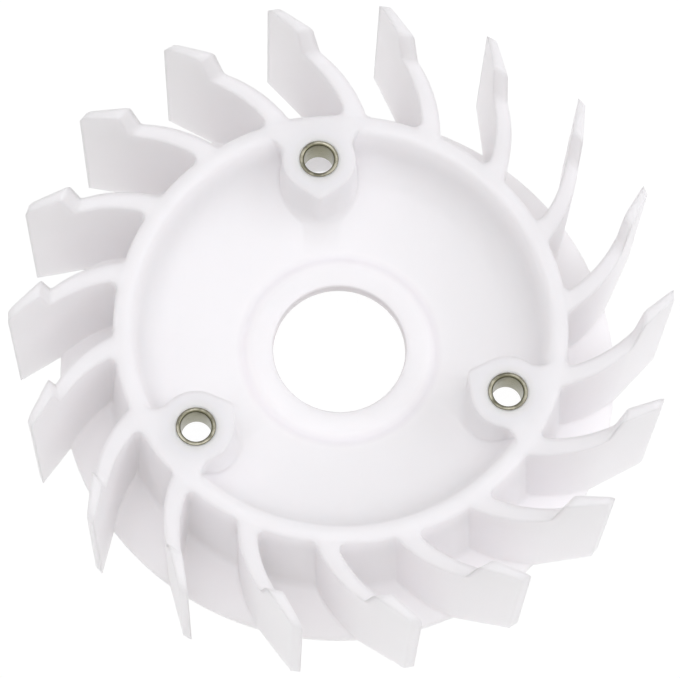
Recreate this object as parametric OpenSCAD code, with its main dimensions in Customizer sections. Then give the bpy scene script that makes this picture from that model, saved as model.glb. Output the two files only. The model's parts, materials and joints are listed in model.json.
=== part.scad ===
// Cooling fan impeller: one moulding with 18 curved blades on a dished hub, and three pressed-in sleeves.
// The axis of rotation is Z. The back of the flange lies on Z = 0 and the dished side faces up.

/* [Blades] */
// Number of blades round the hub
blade_count = 18; // [9:1:22]
// Radius of the blade tips
tip_r = 75; // [72:0.5:82]
// Angle by which a blade tip stands ahead of a sleeve
blade_phase = 5.4; // [0:0.1:20]
// Lean of the straight outer part of a blade from the radius
tip_lean = 39.3; // [34:0.1:42]
// Length of the straight outer part of a blade
straight_l = 12.8; // [10:0.1:14]
// Thickness of a blade at its tip
tip_t = 1.7; // [1.2:0.1:2.6]
// Thickness of a blade where its straight part meets its curve
bend_t = 3; // [2.6:0.1:3.6]
// Radius of the hollow face of the curved part
hollow_face_r = 28.8; // [27:0.1:30]
// Radius of the full face of the curved part
full_face_r = 30.9; // [30.1:0.1:33]
// Radius of the fillets between a blade and the hub wall
root_fillet = 1.5; // [1:0.1:2]

/* [Blade edges] */
// Height of a tip's lower corner
tip_low_z = 5.2; // [3.5:0.1:8]
// Height of a tip's upper corner
tip_top_z = 47; // [44:0.1:52]
// Height of the inner corner of the raised tab
tab_top_z = 47.6; // [44:0.1:52]
// Radius of the inner corner of the raised tab
tab_r = 67.9; // [67:0.1:69]
// Radius of the notch at the foot of the tab
notch_r = 66.4; // [62:0.1:66.6]
// Height of the notch at the foot of the tab
notch_z = 37.6; // [36:0.1:40]
// Rounding of a tip's upper corner
tip_round = 1.8; // [0.5:0.1:2.4]
// Rounding of the tab's inner corner
tab_round = 1; // [0.5:0.1:1.6]
// Rounding of the notch
notch_round = 1.4; // [0.5:0.1:2]

/* [Hub] */
// Outer radius of the rim
rim_r = 52; // [51.5:0.1:54]
// Inner radius of the rim
rim_in_r = 47.8; // [47.2:0.1:48.4]
// Rounding of the rim's inner edge
rim_in_round = 2; // [0.6:0.1:2.4]
// Height of the rim
rim_z = 34; // [33:0.1:35]
// Outward slope of the hub wall in degrees
wall_draft = 3.9; // [2:0.1:5]
// Thickness of the hub wall
wall_t = 2.6; // [2:0.1:3]
// Radius of the flange behind the blades
flange_r = 65.9; // [63:0.1:70]
// Thickness of the flange at its edge
flange_edge_t = 2.2; // [1.6:0.1:3]
// Thickness of the flange at the hub wall
flange_root_t = 4.6; // [3:0.1:5]

/* [Dish] */
// Diameter of the centre hole
hole_d = 31; // [26:0.5:34]
// Radius of the raised collar round the hole
collar_r = 20.4; // [19:0.1:23]
// Height of the collar's face
collar_z = 17.2; // [15:0.1:18]
// Step from the collar down to the dish floor
collar_step = 1.1; // [0.8:0.1:1.6]
// Width of the ramp of that step
collar_ramp = 2.2; // [1.4:0.1:2.6]
// Slope of the dish floor in degrees
floor_slope = 18.5; // [16:0.5:21]
// Slope of the dish wall in degrees
dish_wall_slope = 75; // [72:0.5:78]
// Radius between the floor and the wall of the dish
knee_round = 13; // [8:0.5:14]
// Thickness of the dish
dish_t = 2.6; // [2:0.1:3]

/* [Bosses and sleeves] */
// Diameter of the circle through the sleeve centres
bolt_circle_d = 82.2; // [80:0.1:84]
// Radius of a boss
boss_r = 8.5; // [8:0.1:9]
// Distance from a boss centre to the point on its side
boss_point = 10.3; // [9.8:0.1:11]
// Direction of that point, in degrees from the outward radius
boss_point_angle = 175; // [150:1:200]
// Radius of the fillets between a boss and the rim
boss_fillet = 4; // [3:0.1:5]
// Height at which the wall of a boss turns out into its foot
boss_foot_z = 21; // [20:0.5:24]
// Radius of that turn
boss_foot_round = 5; // [3:0.5:6]
// Radius of the pocket behind a sleeve
pocket_r = 6.2; // [5.4:0.1:6.4]
// Outer diameter of a sleeve
sleeve_d = 9; // [8.4:0.1:10]
// Bore of a sleeve
sleeve_bore_d = 7; // [6.4:0.1:7.4]
// Length of a sleeve
sleeve_l = 8; // [7:0.1:9]
// Height by which a sleeve stands above its boss
sleeve_proud = 0.2; // [0:0.05:0.4]

/* [Hidden] */
$fn = 96;
// Greatest gap between a rounded corner and the short straights that draw it
corner_gap = 0.035;
// Small rounding on edges that the mould leaves soft
edge_round = 0.6;
// Rounding at the top and at the foot of the collar's ramp
collar_round = 1.2;
// Depth by which joined forms reach into each other
overlap = 1;
// Depth by which a fillet circle cuts into the faces it joins, so that they cross and don't only touch
bite = 0.02;
// Chamfer on the ends of a sleeve
sleeve_chamfer = 0.35;
// Direction of the first sleeve
first_sleeve = 90;
// Number of bosses, one for each sleeve node
boss_count = 3;
// Rounding of the upright edge of a boss's point
point_round = 1.4;
// Growth of a boss's radius from its top down to its foot
boss_draft = 0.9;
hole_r = hole_d / 2;
bolt_r = bolt_circle_d / 2;
sleeve_r = sleeve_d / 2;
sleeve_bore_r = sleeve_bore_d / 2;
sleeve_top_z = rim_z + sleeve_proud;
sleeve_low_z = sleeve_top_z - sleeve_l;

// Unit vector along v
function unit(v) = v / norm(v);
// Point at radius r and angle a
function polar(r, a) = [r * cos(a), r * sin(a)];
// Vector v turned by a
function turned(v, a) = [v[0] * cos(a) - v[1] * sin(a), v[0] * sin(a) + v[1] * cos(a)];
// Point where the line from p along u crosses the line from q along v
function crossing(p, u, q, v) =
    p + u * ((q[0] - p[0]) * v[1] - (q[1] - p[1]) * v[0]) / (u[0] * v[1] - u[1] * v[0]);
// Point at distance d1 from c1 and d2 from c2, on the left of the way from c1 to c2 when side is 1
function meeting(c1, d1, c2, d2, side) =
    let (
        d = norm(c2 - c1),
        e = (c2 - c1) / d,
        along = (d1 * d1 - d2 * d2 + d * d) / (2 * d),
        across = sqrt(max(0, d1 * d1 - along * along))
    )
    c1 + along * e + side * across * [-e[1], e[0]];
// Points that round the corner b between a and c
function round_corner(a, b, c, r) =
    let (
        u = unit(a - b),
        v = unit(c - b),
        half = acos(u * v) / 2,
        from = b + u * r / tan(half),
        to = b + v * r / tan(half),
        centre = b + unit(u + v) * r / sin(half),
        a0 = atan2(from[1] - centre[1], from[0] - centre[0]),
        a1 = atan2(to[1] - centre[1], to[0] - centre[0]),
        turn = (a1 - a0 + 540) % 360 - 180,
        n = max(1, ceil(abs(turn) / (2 * acos(1 - corner_gap / r))))
    )
    [for (i = [0 : n]) centre + polar(r, a0 + turn * i / n)];
// Outline through corners [x, y, radius], with each corner rounded
function outline(corners) =
    let (n = len(corners), p = [for (c = corners) [c[0], c[1]]])
    [
        for (i = [0 : n - 1])
        each corners[i][2] > 0
            ? round_corner(p[(i + n - 1) % n], p[i], p[(i + 1) % n], corners[i][2])
            : [p[i]]
    ];

// Section of the hub, as [radius, height, rounding]: the dish, the rim, the wall and the flange
floor_dir = polar(1, floor_slope);
dish_wall_dir = polar(1, dish_wall_slope);
wall_dir = [-tan(wall_draft), 1];
floor_start = [collar_r + collar_ramp, collar_z - collar_step];
rim_inner = [rim_in_r, rim_z];
rim_outer = [rim_r, rim_z];
knee = crossing(floor_start, floor_dir, rim_inner, dish_wall_dir);
under_floor = floor_start - dish_t * [-floor_dir[1], floor_dir[0]];
under_wall = rim_inner + dish_t * [dish_wall_dir[1], -dish_wall_dir[0]];
under_knee = crossing(under_floor, floor_dir, under_wall, dish_wall_dir);
hub_back_z = floor_start[1] - dish_t / cos(floor_slope);
wall_inner = rim_outer - [wall_t / cos(wall_draft), 0];
// The roof of the hollow between the dish and the wall
hollow_w = 1.2;
hollow_apex = crossing(under_wall, dish_wall_dir, wall_inner - [hollow_w, 0], wall_dir);
wall_foot = crossing([0, flange_root_t], [1, 0], rim_outer, wall_dir);

// The knee's rounding on the back, which has to end below that roof
knee_half = (180 - dish_wall_slope + floor_slope) / 2;
back_round = 0.75 * norm(hollow_apex - under_knee) * tan(knee_half);
// Radius at which the rim's rounded inner edge has reached its flat top
rim_flat_r = rim_in_r + rim_in_round * tan(dish_wall_slope / 2);

hub_section = [
    [hole_r, hub_back_z, edge_round],
    [hole_r, collar_z, edge_round],
    [collar_r, collar_z, collar_round],
    [floor_start[0], floor_start[1], collar_round],
    [knee[0], knee[1], 0],
    [rim_inner[0], rim_inner[1], rim_in_round],
    [rim_outer[0], rim_outer[1], edge_round],
    [wall_foot[0], wall_foot[1], root_fillet],
    [flange_r, flange_edge_t, edge_round],
    [flange_r, 0, edge_round],
    [crossing([0, 0], [1, 0], wall_inner, wall_dir)[0], 0, edge_round],
    [crossing([0, hollow_apex[1]], [1, 0], wall_inner, wall_dir)[0], hollow_apex[1], hollow_w / 2.5],
    [hollow_apex[0], hollow_apex[1], hollow_w / 2.5],
    [under_knee[0], under_knee[1], back_round],
    [crossing([0, hub_back_z], [1, 0], under_floor, floor_dir)[0], hub_back_z, edge_round]
];

// The knee is rounded by a circle that crosses the floor and the wall by the bite
knee_way = unit(dish_wall_dir - floor_dir);
knee_centre = knee + knee_way * (knee_round - bite) / sin(knee_half);
knee_reach = (knee_round - bite) / tan(knee_half);
knee_slip = unit(floor_dir + dish_wall_dir) / 3;
knee_web = [
    knee - knee_reach * floor_dir - knee_slip,
    knee + knee_reach * dish_wall_dir + knee_slip,
    (knee + under_knee) / 2
];

// Everything above the middle of the dish, up to the rim: a boss is kept inside this
function mid_dish(p, q) = (p + q) / 2;
above_dish = [
    [floor_start[0] - overlap, collar_z - collar_step - dish_t / 2, 0],
    [mid_dish(floor_start, under_floor)[0], mid_dish(floor_start, under_floor)[1], 0],
    [mid_dish(knee, under_knee)[0], mid_dish(knee, under_knee)[1], knee_round + dish_t / 2],
    [mid_dish(rim_inner, under_wall)[0], mid_dish(rim_inner, under_wall)[1], 0],
    [rim_flat_r + overlap, rim_z - dish_t / 2, 0],
    [rim_flat_r + overlap, rim_z, 0],
    [floor_start[0] - overlap, rim_z, 0]
];

// Side view of a blade, as [radius, height, rounding]: it starts halfway inside the hub wall
in_wall_r = rim_r - wall_t / 2;
blade_section = [
    [wall_foot[0] - wall_t / 2, flange_edge_t / 3, 0],
    [flange_r - overlap, flange_edge_t / 3, 0],
    [tip_r, tip_low_z, edge_round],
    [tip_r, tip_top_z, tip_round],
    [tab_r, tab_top_z, tab_round],
    [notch_r, notch_z, notch_round],
    [in_wall_r, crossing([in_wall_r, 0], [0, 1], rim_outer, unit([notch_r, notch_z] - rim_outer))[1], 0]
];

// Plan of a blade whose tip lies on the X axis: two arcs, then a straight taper out to the tip
bend = [tip_r, 0] - polar(straight_l, tip_lean);
taper = atan((bend_t - tip_t) / 2 / straight_l);
function from_bend(x, y) = bend + turned([x, y], tip_lean);
hollow_centre = from_bend(hollow_face_r * sin(taper), bend_t / 2 + hollow_face_r * cos(taper));
full_centre = from_bend(-full_face_r * sin(taper), full_face_r * cos(taper) - bend_t / 2);
// Radius inside the hub wall at which a blade starts
root_r = rim_r - wall_t;
hollow_root = meeting([0, 0], root_r, hollow_centre, hollow_face_r, -1);
full_root = meeting([0, 0], root_r, full_centre, full_face_r, -1);
// A point inside both the blade and the hub wall, from which the fillets grow
root_heart = (root_r + overlap) * unit(hollow_root + full_root);
fillet_reach = root_fillet - bite;
hollow_fillet = meeting([0, 0], rim_r + fillet_reach, hollow_centre, hollow_face_r - fillet_reach, -1);
full_fillet = meeting([0, 0], rim_r + fillet_reach, full_centre, full_face_r + fillet_reach, -1);

module blade_curve() {
    across = unit(hollow_root - full_root);
    // The full face bulges past its chord, so the trim stands well clear of it
    clear = 2 * bend_t;
    intersection() {
        difference() {
            translate(full_centre) circle(full_face_r);
            translate(hollow_centre) circle(hollow_face_r);
        }
        polygon([
            from_bend(0, clear),
            hollow_root + overlap * across,
            full_root - clear * across,
            from_bend(0, -clear)
        ]);
    }
}

module blade_straight() {
    // The part beyond the tip radius is trimmed by the side view
    beyond = overlap * 2;
    l = straight_l + beyond;
    half_end = bend_t / 2 - l * tan(taper);
    // The middle point reaches back into the curved part, so that the two are joined over an area
    polygon([
        from_bend(0, bend_t / 2),
        from_bend(-bend_t, 0),
        from_bend(0, -bend_t / 2),
        from_bend(l, -half_end),
        from_bend(l, half_end)
    ]);
}

// Ground between a blade face and the hub wall, hollowed by the fillet circle
module root_web(fillet_centre, face_centre, face_side) {
    wall_touch = rim_r * unit(fillet_centre);
    face_touch = fillet_centre + face_side * root_fillet * unit(face_centre - fillet_centre);
    slip = unit(wall_touch - face_touch) / 4;
    difference() {
        polygon([wall_touch + slip, face_touch - slip, root_heart]);
        translate(fillet_centre) circle(root_fillet);
    }
}

module blade() {
    h = tab_top_z + overlap;
    intersection() {
        union() {
            linear_extrude(h) {
                blade_curve();
                blade_straight();
            }
            linear_extrude(h) root_web(hollow_fillet, hollow_centre, -1);
            linear_extrude(h) root_web(full_fillet, full_centre, 1);
        }
        rotate_extrude() polygon(outline(blade_section));
    }
}

// Side view of the round part of a boss: its wall turns out into a foot that runs down to the dish
foot_w = 5;
foot_h = 7;
boss_section = [
    [0, boss_foot_z - foot_h, 0],
    [boss_r + boss_draft + foot_w, boss_foot_z - foot_h, 0],
    [boss_r + boss_draft, boss_foot_z, boss_foot_round],
    [boss_r, rim_z, 0],
    [0, rim_z, 0]
];

// Plan of a boss's point, on the centre of the boss, with the rim on the +X side
module boss_point_plan() {
    half = acos(boss_r / boss_point);
    root = boss_r - bite;
    left = polar(root, boss_point_angle + half);
    right = polar(root, boss_point_angle - half);
    point = polar(boss_point, boss_point_angle);
    polygon(outline([
        [0, 0, 0],
        [right[0], right[1], 0],
        [point[0], point[1], point_round],
        [left[0], left[1], 0]
    ]));
}

// Plan of the ground between a boss and the rim, hollowed on each side by a fillet circle
module boss_web_plan() {
    rim_side = [bolt_r, 0];
    reach = boss_fillet - bite;
    fillet = meeting([0, 0], boss_r + reach, -rim_side, rim_flat_r - reach, -1);
    boss_touch = (boss_r - overlap) * unit(fillet);
    rim_touch = (rim_flat_r + overlap / 2) * unit(fillet + rim_side) - rim_side;
    difference() {
        polygon([
            boss_touch,
            rim_touch,
            [rim_flat_r + overlap / 2 - bolt_r, 0],
            [rim_touch[0], -rim_touch[1]],
            [boss_touch[0], -boss_touch[1]],
            [-overlap, 0]
        ]);
        translate(fillet) circle(boss_fillet);
        translate([fillet[0], -fillet[1]]) circle(boss_fillet);
    }
}

module at_bosses() {
    for (i = [0 : boss_count - 1]) {
        rotate(first_sleeve + i * 360 / boss_count) translate([bolt_r, 0, 0]) children();
    }
}

module bosses() {
    intersection() {
        at_bosses() {
            rotate_extrude() polygon(outline(boss_section));
            linear_extrude(rim_z) boss_point_plan();
            linear_extrude(rim_z) boss_web_plan();
        }
        rotate_extrude() polygon(outline(above_dish));
    }
}

module hub() {
    rotate_extrude() polygon(outline(hub_section));
    rotate_extrude() difference() {
        polygon(knee_web);
        translate(knee_centre) circle(knee_round);
    }
}

module impeller() {
    color("#f4f1f5") {
        difference() {
            union() {
                hub();
                bosses();
                for (i = [0 : blade_count - 1]) {
                    rotate(first_sleeve + blade_phase + i * 360 / blade_count) blade();
                }
            }
            at_bosses() translate([0, 0, -overlap]) cylinder(r = pocket_r, h = sleeve_low_z + overlap);
            at_bosses() cylinder(r = sleeve_r, h = rim_z + overlap);
        }
    }
}

module sleeve(i) {
    color("#8f8b72") {
        rotate(first_sleeve + i * 360 / boss_count) translate([bolt_r, 0, sleeve_low_z]) {
            rotate_extrude() polygon([
                [sleeve_bore_r, sleeve_chamfer],
                [sleeve_bore_r + sleeve_chamfer, 0],
                [sleeve_r, 0],
                [sleeve_r, sleeve_l],
                [sleeve_bore_r + sleeve_chamfer, sleeve_l],
                [sleeve_bore_r, sleeve_l - sleeve_chamfer]
            ]);
        }
    }
}

impeller();
sleeve(0);  // sleeve_1
sleeve(1);  // sleeve_2
sleeve(2);  // sleeve_3
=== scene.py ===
# %% [markdown]
# # A moulded fan impeller, photographed on white
# The real object is the cooling fan of a small engine: one moulding in natural white nylon, with 18 curved
# blades round a dished hub, and three steel sleeves that take the bolts. Its shapes come ready made, from the
# CAD frame. What this script adds is what a camera sees of them: soft moulded edges, a plastic that lets
# light in a little way, plated metal, a white stage, and soft light from the right and from above.

import json
import math

import bpy
from mathutils import Matrix, Vector


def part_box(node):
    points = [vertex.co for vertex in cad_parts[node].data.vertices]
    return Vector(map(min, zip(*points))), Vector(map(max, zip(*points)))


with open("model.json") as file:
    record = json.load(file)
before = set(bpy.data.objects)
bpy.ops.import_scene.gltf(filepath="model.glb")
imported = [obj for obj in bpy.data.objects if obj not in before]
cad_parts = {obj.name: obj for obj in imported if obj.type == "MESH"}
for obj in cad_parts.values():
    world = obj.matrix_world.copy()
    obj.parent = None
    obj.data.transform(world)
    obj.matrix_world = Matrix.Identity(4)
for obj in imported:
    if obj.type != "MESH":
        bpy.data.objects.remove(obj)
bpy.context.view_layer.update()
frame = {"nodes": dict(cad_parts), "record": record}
MM = 0.001
nodes = frame["nodes"]

# %% [markdown]
# ## Helpers for materials
# Colours are written as the hex values that a painter would pick on a screen, and one function turns them
# into the linear numbers that the renderer works with. One more function adds a node, with its settings and
# its links, so that a material reads as a list of steps.

# %% Colour and node helpers
WHITE = (1, 1, 1, 1)


def linear(hex_colour):
    """The linear colour, with alpha, of an sRGB hex value such as #FDFAFC."""
    parts = [int(hex_colour[i : i + 2], 16) / 255 for i in (1, 3, 5)]
    return [p / 12.92 if p <= 0.04045 else ((p + 0.055) / 1.055) ** 2.4 for p in parts] + [1.0]


def add(tree, kind, settings=None, **sockets):
    """Adds a node. A socket's value is a number or colour, or the output of another node.

    A socket goes by its name, with underscores for spaces, or by its identifier, such as Value_001.
    """
    node = tree.nodes.new(kind if "Node" in kind else "ShaderNode" + kind)
    for name, value in (settings or {}).items():
        setattr(node, name, value)
    for name, value in sockets.items():
        wanted = (name, name.replace("_", " "))
        socket = next(s for s in node.inputs if s.enabled and (s.name in wanted or s.identifier in wanted))
        if isinstance(value, bpy.types.NodeSocket):
            tree.links.new(value, socket)
        else:
            socket.default_value = value
    return node


def new_material(name):
    """An empty material: its node tree and its output node."""
    material = bpy.data.materials.new(name)
    material.use_nodes = True
    material.node_tree.nodes.clear()
    output = material.node_tree.nodes.new("ShaderNodeOutputMaterial")
    return material, material.node_tree, output


print("a middle grey, #808080, is", round(linear("#808080")[0], 3), "in linear light")

# %% [markdown]
# ## The moulding: natural nylon
# Natural polyamide comes from the mould milky white, with a satin skin. Light goes a few millimetres into it
# and comes out again beside where it went in, so thin blades glow and shadows turn soft and pale. That is
# subsurface scattering, and its radius is a real length, so it is given in metres. Red light travels
# a little further than blue. A polished mould leaves a surface that is smooth but never quite flat: the
# plastic shrinks a few hundredths of a millimetre where walls are thick, and flow marks under a centimetre
# across stay in the skin.
#
# A mould has no sharp corners. Here the shader rounds them: its Bevel node bends the normals near each edge,
# so light runs softly round the blades. A bevel modifier would have to round hundreds of short edges where
# the blades run into the hub, and it folds over itself there.

# %% Where the painted light and shade lie on the moulding
SLEEVES = ("sleeve_1", "sleeve_2", "sleeve_3")
SLEEVE_R = (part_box("sleeve_1")[1][0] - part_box("sleeve_1")[0][0]) / 2
MOUNTS = {mount["name"]: mount for mount in frame["record"]["mounts"]}
HOLE_R = MOUNTS["centre_hole"]["dims"]["r_mm"] * MM
COLLAR_WIDTH = 7.1 * MM
COLLAR_FOOT = HOLE_R + COLLAR_WIDTH


def flat_distance(tree, place, middle):
    """How far a point lies from an upright axis through middle."""
    to_axis = (-middle[0], -middle[1], 0)
    flat = add(tree, "Mapping", Vector=place, Location=to_axis, Scale=(1, 1, 0)).outputs["Vector"]
    return add(tree, "VectorMath", {"operation": "LENGTH"}, Vector=flat).outputs["Value"]


def from_nearest_sleeve(tree, place):
    """How far a point lies from the axis of the sleeve next to it."""
    nearest = None
    for sleeve in SLEEVES:
        low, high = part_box(sleeve)
        far = flat_distance(tree, place, [(low[i] + high[i]) / 2 for i in range(2)])
        if nearest is not None:
            far = add(tree, "Math", {"operation": "MINIMUM"}, Value=nearest, Value_001=far).outputs["Value"]
        nearest = far
    return nearest


def fading_mark(tree, under, far, mark):
    """Lays a mark over a colour. It keeps its share as far as its start, and is gone a reach beyond."""
    colour, start, reach, share = mark
    fade = add(tree, "MapRange", Value=far, From_Min=start, From_Max=start + reach, To_Min=share, To_Max=0)
    mix = add(tree, "MixRGB", Fac=fade.outputs["Result"], Color1=under, Color2=linear(colour))
    return mix.outputs["Color"]


print("sleeve radius", round(SLEEVE_R / MM, 2), "mm, hole radius", round(HOLE_R / MM, 2), "mm")
print("the collar's foot lies", round(COLLAR_FOOT / MM, 2), "mm from the axis")

# %% [markdown]
# ### Colour first, then the skin
# The colour is built up in layers, from the plastic outwards. A slow cloud makes the white uneven. A faint
# straw glow round each sleeve is a painted reflection of the plated steel. The wall of the centre hole is
# painted grey as shade, and a ring of painted shade lies in the crease at the foot of the collar. Beside a
# sleeve the light can't go deep, because it meets the steel, so the scatter is cut short there and no dark
# halo forms.

# %% Natural nylon, injection moulded
NYLON_IOR = 1.53
NYLON_ROUGHNESS = (0.36, 0.50)
NYLON_TINTS = ((0.3, "#FBF8F9"), (0.7, "#FDFAFC"))
CLOUD = 32 * MM
SCATTER_RADIUS = (7.0 * MM, 6.7 * MM, 6.6 * MM)
# Beside a sleeve the scatter keeps this share, and has all of it again this far off.
SCATTER_AT_STEEL = 0.1
STEEL_REACH = 3 * MM
# Each mark has its colour, where it starts, how far it reaches and its share there.
# Painted reflection: a straw glow of the plated steel, laid on the plastic round each sleeve.
SLEEVE_PAINTED_REFLECTION = ("#F4F0E2", SLEEVE_R, 2.2 * MM, 0.5)
# Painted shade: the wall of the centre hole is greyed as if it lay in shadow.
HOLE_PAINTED_SHADE = ("#B4B2B2", HOLE_R, 0.4 * MM, 0.6)
# Painted shade: a grey ring in the crease at the foot of the collar.
CREASE_PAINTED_SHADE = ("#DEDDE1", 0, 1.7 * MM, 0.5)
# A pattern has its size, and its bump a height and a strength. The real grain is about a tenth of
# a millimetre. It is drawn coarser, 4 pixels wide, so that it shows from here at all.
FLOW_MARK = 9 * MM
FLOW_BUMP = (0.05 * MM, 0.5)
SKIN_GRAIN = 0.9 * MM
GRAIN_BUMP = (0.01 * MM, 0.4)
# Wider than the real edges, about 0.5 mm, and as soft as the photograph shows them.
SOFT_EDGE = 1.2 * MM
EDGE_SAMPLES = 6


def natural_nylon():
    material, tree, output = new_material("natural_nylon_moulded")
    place = add(tree, "TexCoord").outputs["Object"]
    from_sleeve = from_nearest_sleeve(tree, place)
    from_axis = flat_distance(tree, place, (0, 0))
    off_crease = add(tree, "Math", {"operation": "SUBTRACT"}, Value=from_axis, Value_001=COLLAR_FOOT)
    off_crease = add(tree, "Math", {"operation": "ABSOLUTE"}, Value=off_crease.outputs["Value"])

    cloud = add(tree, "TexNoise", Vector=place, Scale=1 / CLOUD, Detail=2.0)
    white = add(tree, "ValToRGB", Fac=cloud.outputs["Fac"])
    for stop, (position, tint) in zip(white.color_ramp.elements, NYLON_TINTS):
        stop.position = position
        stop.color = linear(tint)
    # Painted reflection of the plated steel round each sleeve.
    colour = fading_mark(tree, white.outputs["Color"], from_sleeve, SLEEVE_PAINTED_REFLECTION)
    # Painted shade on the wall of the centre hole.
    colour = fading_mark(tree, colour, from_axis, HOLE_PAINTED_SHADE)
    # Painted shade in the crease at the foot of the collar.
    colour = fading_mark(tree, colour, off_crease.outputs["Value"], CREASE_PAINTED_SHADE)

    depth = add(
        tree,
        "MapRange",
        Value=from_sleeve,
        From_Min=SLEEVE_R,
        From_Max=SLEEVE_R + STEEL_REACH,
        To_Min=SCATTER_AT_STEEL,
        To_Max=1,
    )
    flow = add(tree, "TexNoise", Vector=place, Scale=1 / FLOW_MARK, Detail=3.0, Roughness=0.5)
    grain = add(tree, "TexNoise", Vector=place, Scale=1 / SKIN_GRAIN, Detail=2.0, Roughness=0.6)
    dull, duller = NYLON_ROUGHNESS
    gloss = add(tree, "MapRange", Value=flow.outputs["Fac"], To_Min=dull, To_Max=duller)
    normal = add(tree, "Bevel", {"samples": EDGE_SAMPLES}, Radius=SOFT_EDGE).outputs["Normal"]
    for pattern, (height, strength) in ((flow, FLOW_BUMP), (grain, GRAIN_BUMP)):
        relief = pattern.outputs["Fac"]
        bump = add(tree, "Bump", Height=relief, Distance=height, Strength=strength, Normal=normal)
        normal = bump.outputs["Normal"]
    shader = add(
        tree,
        "BsdfPrincipled",
        Base_Color=colour,
        Roughness=gloss.outputs["Result"],
        IOR=NYLON_IOR,
        Subsurface_Weight=1.0,
        Subsurface_Scale=depth.outputs["Result"],
        Subsurface_Radius=SCATTER_RADIUS,
        Normal=normal,
    )
    tree.links.new(shader.outputs["BSDF"], output.inputs["Surface"])
    return material


nylon = natural_nylon()
print("made", nylon.name, "scatter radius in mm:", [round(r / MM, 1) for r in SCATTER_RADIUS])

# %% [markdown]
# ## The sleeves: plated steel
# Each sleeve is turned steel tube with a yellow chromate over zinc. Its straw tint is painted darker, olive,
# in its bore as shade, and paler on its end as the light of a lamp. A metal needs no colour of its own under
# the
# reflection: its base colour is the tint of what it reflects, and the index of refraction stays at its
# default.
# The end's painted light is patchy at random, a painted unevenness of its highlight. Turning leaves fine
# rings, so the gloss is drawn out round the tube, which is what Anisotropic does along the Tangent. Real
# rings are about
# 0.1 mm apart, too fine to see from here, so they are drawn at 0.25 mm.

# %% Zinc plated steel, turned
TURNING_PITCH = 0.25 * MM
RING_BUMP = (0.01 * MM, 0.4)
# The noise is pressed flat along the axis by this much, which turns it into rings.
FLATTENED = 12.0
STEEL_ROUGHNESS = (0.22, 0.38)
DRAWN_OUT = 0.7
PLATING_PATCH = 3 * MM
# The bore is painted darker as shade and the end paler as lamp light: two tints of one plating.
BORE_PAINTED_SHADE = ("#6F6D55", "#93907A")
END_PAINTED_LIGHT = ("#5F5D50", "#A3A090")
END_PATCHES_BETWEEN = (0.38, 0.62)
# A surface counts as the tube's end as its normal turns upright, between these heights of the normal.
# There the end gets its painted light.
END_BETWEEN = (0.85, 0.98)


def plated_steel():
    material, tree, output = new_material("yellow_zinc_steel_turned")
    place = add(tree, "TexCoord").outputs["Object"]
    stain = add(tree, "TexNoise", Vector=place, Scale=1 / PLATING_PATCH, Detail=3.0).outputs["Fac"]
    flat = add(tree, "Mapping", Vector=place, Scale=(1.0, 1.0, FLATTENED)).outputs["Vector"]
    fine = 1 / (FLATTENED * TURNING_PITCH)
    rings = add(tree, "TexNoise", Vector=flat, Scale=fine, Detail=2.0).outputs["Fac"]
    way = add(tree, "SeparateXYZ", Vector=add(tree, "TexCoord").outputs["Normal"]).outputs["Z"]
    upright = add(tree, "Math", {"operation": "ABSOLUTE"}, Value=way).outputs["Value"]
    painted_light_mask = add(tree, "MapRange", Value=upright, From_Min=END_BETWEEN[0], From_Max=END_BETWEEN[1])
    end_patches = add(tree, "MapRange", Value=stain, From_Min=END_PATCHES_BETWEEN[0], From_Max=END_PATCHES_BETWEEN[1])
    # Painted shade in the bore, painted light on the end, patchy at random.
    shaded_bore, lit_end = (
        add(tree, "MixRGB", Fac=share, Color1=linear(dark), Color2=linear(pale)).outputs["Color"]
        for share, (dark, pale) in ((stain, BORE_PAINTED_SHADE), (end_patches.outputs["Result"], END_PAINTED_LIGHT))
    )
    tint = add(tree, "MixRGB", Fac=painted_light_mask.outputs["Result"], Color1=shaded_bore, Color2=lit_end)
    gloss = add(tree, "MapRange", Value=rings, To_Min=STEEL_ROUGHNESS[0], To_Max=STEEL_ROUGHNESS[1])
    bump = add(tree, "Bump", Height=rings, Distance=RING_BUMP[0], Strength=RING_BUMP[1])
    turned = add(tree, "Tangent", {"direction_type": "RADIAL", "axis": "Z"})
    shader = add(
        tree,
        "BsdfPrincipled",
        Base_Color=tint.outputs["Color"],
        Metallic=1.0,
        Roughness=gloss.outputs["Result"],
        Anisotropic=DRAWN_OUT,
        Tangent=turned.outputs["Tangent"],
        Normal=bump.outputs["Normal"],
    )
    tree.links.new(shader.outputs["BSDF"], output.inputs["Surface"])
    return material


steel = plated_steel()
print("made", steel.name, "turning pitch in mm:", TURNING_PITCH / MM)

# %% [markdown]
# ## Dressing the CAD pieces
# The shapes stay exactly as the CAD made them. Modifiers only finish them: the loose triangles are welded,
# flat ones are joined into whole faces, a small bevel rounds the edges of the sleeves, which catch a thin
# line of light, and the last one shades everything smooth up to an edge that is truly sharp.

# %% Smooth shading as a modifier
SHARP_FROM = math.radians(40)


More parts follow.
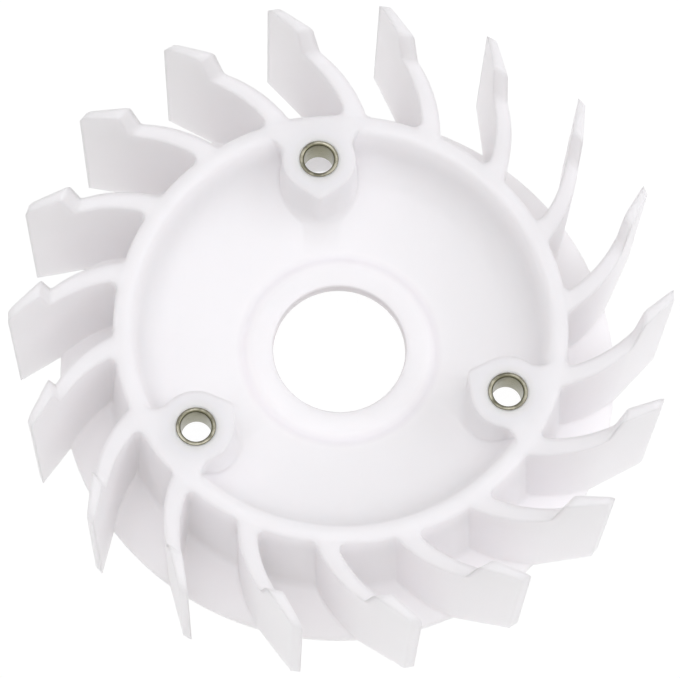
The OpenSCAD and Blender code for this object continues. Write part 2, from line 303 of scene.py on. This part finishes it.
def smooth_shading():
    """A modifier tree that shades smooth, and keeps a break only at edges sharper than SHARP_FROM."""
    tree = bpy.data.node_groups.new("smooth_by_angle", "GeometryNodeTree")
    tree.is_modifier = True
    tree.interface.new_socket("Geometry", in_out="INPUT", socket_type="NodeSocketGeometry")
    tree.interface.new_socket("Geometry", in_out="OUTPUT", socket_type="NodeSocketGeometry")
    source = tree.nodes.new("NodeGroupInput").outputs["Geometry"]
    bare = add(tree, "GeometryNodeRemoveAttribute", Geometry=source, Name="custom_normal").outputs["Geometry"]
    angle = add(tree, "GeometryNodeInputMeshEdgeAngle").outputs["Unsigned Angle"]
    sharp = add(tree, "FunctionNodeCompare", {"operation": "GREATER_THAN"}, A=angle, B=SHARP_FROM)
    faces = add(tree, "GeometryNodeSetShadeSmooth", Geometry=bare, Shade_Smooth=True).outputs["Geometry"]
    edges = add(
        tree,
        "GeometryNodeSetShadeSmooth",
        {"domain": "EDGE"},
        Geometry=faces,
        Selection=sharp.outputs["Result"],
        Shade_Smooth=False,
    ).outputs["Geometry"]
    tree.links.new(edges, tree.nodes.new("NodeGroupOutput").inputs["Geometry"])
    return tree


smooth_by_angle = smooth_shading()
print("made", smooth_by_angle.name, "with breaks from", round(math.degrees(SHARP_FROM)), "degrees")

# %% Materials and soft edges on the CAD pieces
WELD_WITHIN = 0.002 * MM
FLAT_WITHIN = math.radians(1)
ROUND_FROM = math.radians(35)
SLEEVE_EDGE = 0.2 * MM


def finish_piece(piece, material, edge):
    piece.data.materials.clear()
    piece.data.materials.append(material)
    weld = piece.modifiers.new("weld", "WELD")
    weld.merge_threshold = WELD_WITHIN
    join = piece.modifiers.new("join_flats", "DECIMATE")
    join.decimate_type = "DISSOLVE"
    join.angle_limit = FLAT_WITHIN
    if edge:
        soft = piece.modifiers.new("soft_edges", "BEVEL")
        soft.width = edge
        soft.segments = 3
        soft.limit_method = "ANGLE"
        soft.angle_limit = ROUND_FROM
    shade = piece.modifiers.new("smooth_shading", "NODES")
    shade.node_group = smooth_by_angle


for name, material, edge in [("impeller", nylon, 0)] + [(sleeve, steel, SLEEVE_EDGE) for sleeve in SLEEVES]:
    finish_piece(nodes[name], material, edge)
    print("dressed", name, "in", material.name, "with edges of", round(edge / MM, 2), "mm")

# %% [markdown]
# ## The camera
# The photograph looks down on the dish from about 20 degrees off its axis, with a long lens that sees about
# 12 degrees. The direction is given by the tilt from the axis, a turn about it and a small roll, and the lens
# by its focal length in pixels, which a sensor 36 mm wide turns into millimetres.

# %% Camera at the photograph's viewing angle
IMAGE_WIDTH = 680
FOCAL_PIXELS = 3168
SENSOR_WIDTH = 36
TILT = math.radians(19.60)
ROLL = math.radians(3.95)
TURN = math.radians(-10.91)
AIM = Vector((-0.02, -3.66, 34.0)) * MM
DISTANCE = 722 * MM
NEAREST, FURTHEST = 0.05, 20
to_frame = Matrix.Rotation(TURN, 3, "Z")
back = Vector((0, -math.sin(TILT), math.cos(TILT)))
up = Vector((0, math.cos(TILT), math.sin(TILT)))
side = Vector((1, 0, 0))
rolled_side = side * math.cos(ROLL) + up * math.sin(ROLL)
rolled_up = up * math.cos(ROLL) - side * math.sin(ROLL)
aim = Vector((AIM.x, AIM.y, 0))
place = to_frame @ (aim + back * DISTANCE) + Vector((0, 0, AIM.z))
axes = Matrix([to_frame @ rolled_side, to_frame @ rolled_up, to_frame @ back]).transposed()

camera_data = bpy.data.cameras.new("camera")
camera_data.sensor_width = SENSOR_WIDTH
camera_data.lens = FOCAL_PIXELS * SENSOR_WIDTH / IMAGE_WIDTH
camera_data.clip_start = NEAREST
camera_data.clip_end = FURTHEST
camera = bpy.data.objects.new("camera", camera_data)
bpy.context.scene.collection.objects.link(camera)
camera.matrix_world = Matrix.Translation(place) @ axes.to_4x4()
bpy.context.scene.camera = camera
print("camera at mm", [round(v / MM) for v in place], "lens", round(camera_data.lens, 1), "mm")

# %% [markdown]
# ## Stage and light
# The object lay on a lit white table: light comes up between the blades and through the thin walls. The floor
# is white paper that glows a little. The camera sees it brighter than the object does, so that the ground of
# the picture is white while the light stays low enough for the white plastic not to burn out, and a trace of
# shadow is left under the blades. Mirrors and glass see the same white as the camera.
#
# The light is one large soft panel on the right, one above, and a world that fills the rest. Both panels are
# far away next to the size of the object, so that they light its left and its right alike. They are a trace
# cool and the fill is a trace warm: in the photograph the lit faces are bluish and the shaded ones warm grey.

# %% Floor
FLOOR_HALF = 3.0
# The floor lies this far under the part, so that the two faces don't coincide.
FLOOR_DROP = 0.5 * MM
PAPER = "#DFDFDF"
TABLE_GLOW = 0.4
# Where the ground is seen, this share of it is a white of this strength, and the rest is lit paper.
SEEN_SHARE = 0.9
SEEN_WHITE = 1.02


def seen_not_lit(tree):
    """1 for a ray that sees the ground, by eye, mirror or glass, and 0 for one that gathers its light."""
    path = add(tree, "LightPath").outputs
    seen = path["Is Camera Ray"]
    for other in ("Is Glossy Ray", "Is Transmission Ray"):
        seen = add(tree, "Math", {"operation": "MAXIMUM"}, Value=seen, Value_001=path[other]).outputs["Value"]
    return seen


def white_stage():
    material, tree, output = new_material("white_paper_floor")
    share = add(tree, "MapRange", Value=seen_not_lit(tree), To_Min=0, To_Max=SEEN_SHARE)
    paper = add(tree, "BsdfDiffuse", Color=linear(PAPER))
    table = add(tree, "Emission", Color=WHITE, Strength=TABLE_GLOW)
    glow = add(tree, "Emission", Color=WHITE, Strength=SEEN_WHITE)
    lit = add(tree, "AddShader")
    mix = add(tree, "MixShader", Fac=share.outputs["Result"])
    tree.links.new(paper.outputs[0], lit.inputs[0])
    tree.links.new(table.outputs[0], lit.inputs[1])
    tree.links.new(lit.outputs[0], mix.inputs[1])
    tree.links.new(glow.outputs[0], mix.inputs[2])
    tree.links.new(mix.outputs[0], output.inputs["Surface"])
    return material


floor_mesh = bpy.data.meshes.new("floor")
corners = [(x * FLOOR_HALF, y * FLOOR_HALF, -FLOOR_DROP) for x, y in ((-1, -1), (1, -1), (1, 1), (-1, 1))]
floor_mesh.from_pydata(corners, [], [(0, 1, 2, 3)])
floor_mesh.materials.append(white_stage())
floor = bpy.data.objects.new("floor", floor_mesh)
bpy.context.scene.collection.objects.link(floor)
print("floor", 2 * FLOOR_HALF, "m wide, glowing at", TABLE_GLOW)

# %% World and lamps
FILL_TINT = "#F9F7F6"
FILL_STRENGTH = 0.56
LAMP_TINT = "#F9F7FF"
PANEL_AWAY = 2.0
PANEL_SIZE = 1.4
LAMPS_LOOK_AT = Vector((0, 0, 20 * MM))
# Each panel has its direction in the picture, as right, up and towards the eye, and its watts.
PANELS = {"key_right": ((0.85, 0.25, 0.75), 10.7), "top_fill": ((-0.1, 0.3, 1.0), 11.5)}


def white_world():
    world = bpy.data.worlds.new("studio")
    bpy.context.scene.world = world
    world.use_nodes = True
    tree = world.node_tree
    tree.nodes.clear()
    fill = add(tree, "Background", Color=linear(FILL_TINT), Strength=FILL_STRENGTH)
    white = add(tree, "Background", Color=WHITE, Strength=1.0)
    mix = add(tree, "MixShader", Fac=seen_not_lit(tree))
    tree.links.new(fill.outputs[0], mix.inputs[1])
    tree.links.new(white.outputs[0], mix.inputs[2])
    output = tree.nodes.new("ShaderNodeOutputWorld")
    tree.links.new(mix.outputs[0], output.inputs["Surface"])


def soft_panel(name, direction, watts):
    """A square area lamp that looks at the object."""
    data = bpy.data.lights.new(name, "AREA")
    data.shape = "SQUARE"
    data.size = PANEL_SIZE
    data.energy = watts
    data.color = linear(LAMP_TINT)[:3]
    lamp = bpy.data.objects.new(name, data)
    bpy.context.scene.collection.objects.link(lamp)
    way = (axes @ Vector(direction)).normalized()
    lamp.location = way * PANEL_AWAY + LAMPS_LOOK_AT
    lamp.rotation_euler = way.to_track_quat("Z", "Y").to_euler()
    print("lamp", name, "at", [round(v, 2) for v in lamp.location], watts, "W")


white_world()
for name, (direction, watts) in PANELS.items():
    soft_panel(name, direction, watts)

# %% [markdown]
# ## Colour management and the end
# The picture uses the plain Standard view, so a colour renders about as it is written.

# %% Finish
bpy.context.scene.view_settings.view_transform = "Standard"
